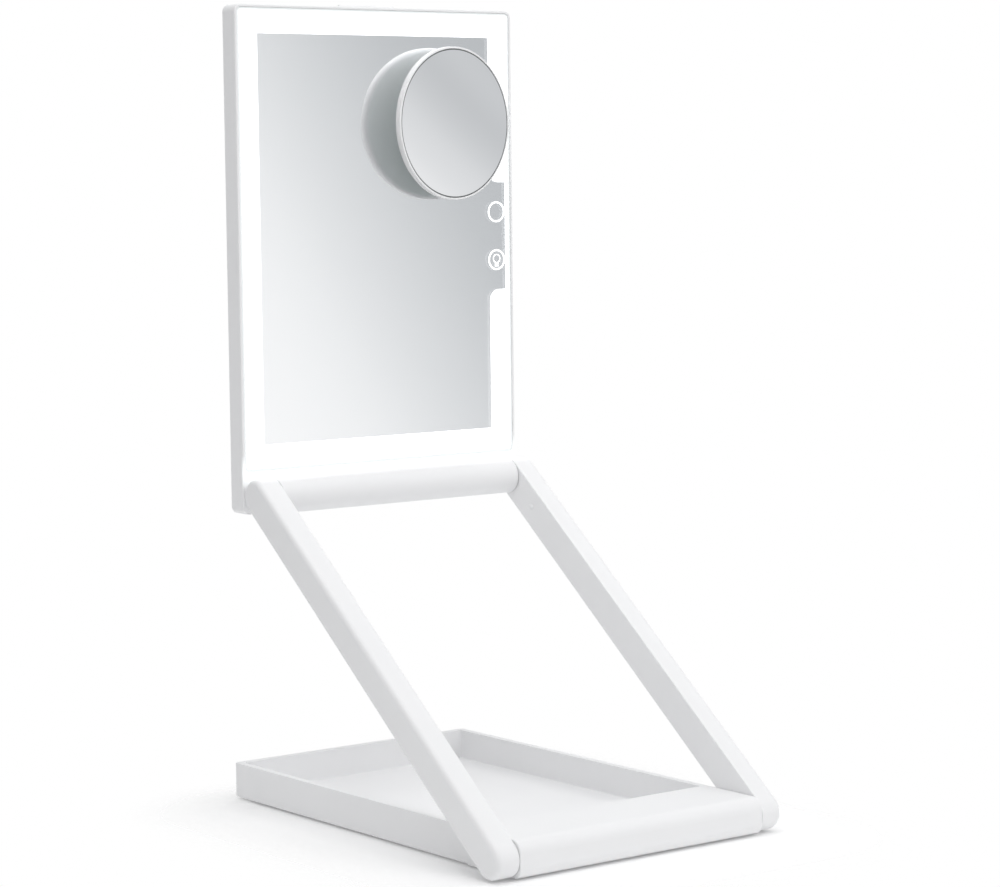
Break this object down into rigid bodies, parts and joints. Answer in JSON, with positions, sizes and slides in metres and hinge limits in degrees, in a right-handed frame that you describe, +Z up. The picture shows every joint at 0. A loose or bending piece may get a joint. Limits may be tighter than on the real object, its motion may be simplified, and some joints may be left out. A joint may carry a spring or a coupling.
{
  "type": "folding makeup mirror",
  "caption": "Folding table makeup mirror: lit glass head on hinged arms over a shallow tray base, with touch zones and a round magnifier held by a magnet.",
  "frame": {"origin": "middle of the footprint on the table, under the feet", "axes": "+X to the right seen from the front, +Y to the back, +Z up"},
  "size_m": [0.1844, 0.257, 0.4326],
  "materials": {
    "white_shell": "fine satin moulded white",
    "rubber_feet": "soft matte",
    "steel": "plain zinc-plated",
    "bush_plastic": "smooth bearing plastic",
    "clear_glass": "polished float glass",
    "mirror_silver": "silvered",
    "diffuser_white": "frosted, lit from behind",
    "light_chip": "phosphor lens",
    "board": "white solder mask",
    "reflector_white": "white reflector sheet",
    "battery_wrap": "foil pouch"
  },
  "bodies": {
    "base": {"base_tray": "white_shell", "base_bottom_plate": "white_shell", "base_plate_screws": "steel", "counterweight": "steel", "base_feet": "rubber_feet", "lower_bushes": "bush_plastic"},
    "arms": {"left_arm": "white_shell", "right_arm": "white_shell", "lower_pins": "steel", "upper_pins": "steel"},
    "mirror_head": {"head_frame": "white_shell", "head_rear_cover": "white_shell", "hinge_barrel": "white_shell", "upper_bushes": "bush_plastic", "barrel_screws": "steel", "cover_screws": "steel", "mirror_glass": "clear_glass", "silver_backing": "mirror_silver", "diffuser_frame": "diffuser_white", "led_strips": "board", "led_chips": "light_chip", "reflector_plate": "reflector_white", "touch_board": "board", "control_board": "board", "battery": "battery_wrap", "usb_socket": "steel", "steel_catch_plate": "steel"},
    "magnifier_base": {"magnet_pad": "rubber_feet", "magnet": "steel", "magnet_holder": "white_shell"},
    "magnifier": {"magnifier_housing": "white_shell", "magnifier_glass": "mirror_silver"}
  },
  "joints": [
    {"name": "arm_fold", "type": "hinge", "parent": "base", "child": "arms", "pos_m": [0, -0.119, 0.0105], "axis": [1, 0, 0], "range_deg": [-38.5, 51.5]},
    {"name": "mirror_tilt", "type": "hinge", "parent": "arms", "child": "mirror_head", "pos_m": [0, 0.08252, 0.1708], "axis": [1, 0, 0], "range_deg": [-50, 117]},
    {"name": "magnifier_pull", "type": "slide", "parent": "mirror_head", "child": "magnifier_base", "axis": [0, -1, 0], "range_m": [0, 0.01]},
    {"name": "magnifier_swivel", "type": "hinge", "parent": "magnifier_base", "child": "magnifier", "pos_m": [0.0431, 0.08852, 0.3683], "axis": [0, 0, 1], "range_deg": [-16, 0]}
  ]
}
